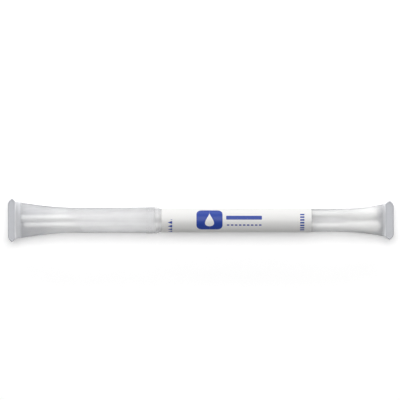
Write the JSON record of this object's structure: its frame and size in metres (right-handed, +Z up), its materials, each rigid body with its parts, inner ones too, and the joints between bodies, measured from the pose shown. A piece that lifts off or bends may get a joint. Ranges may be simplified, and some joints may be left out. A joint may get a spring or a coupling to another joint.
{
  "type": "specimen swab tube",
  "caption": "Milky plastic specimen tube sealed flat at both ends, with a pull-off cap, a clear tear band, a white wrap label and fibre-tipped swabs inside.",
  "frame": {"origin": "on the table under the middle of the whole length, with the tube lying on its round belly and its flat seals level", "axes": "+X along the tube from the cap to the sealed end, +Y across the flat seals, +Z up"},
  "size_m": [0.1642, 0.0184, 0.0112],
  "materials": {
    "tube_plastic": "milky translucent, satin gloss",
    "seal_film": "clear film",
    "label_paper": "smooth coated white",
    "shaft_plastic": "white, satin",
    "tip_fibre": "soft spun fibre"
  },
  "bodies": {
    "tube": {"tube_body": "tube_plastic", "label": "label_paper", "swab_shaft_1": "shaft_plastic", "swab_tip_1": "tip_fibre", "swab_shaft_2": "shaft_plastic", "swab_tip_2": "tip_fibre"},
    "cap": {"cap": "tube_plastic", "tamper_seal": "seal_film"}
  },
  "joints": [
    {"name": "cap_slide", "type": "slide", "parent": "tube", "child": "cap", "axis": [-1, 0, 0], "range_m": [0, 0.062]}
  ]
}
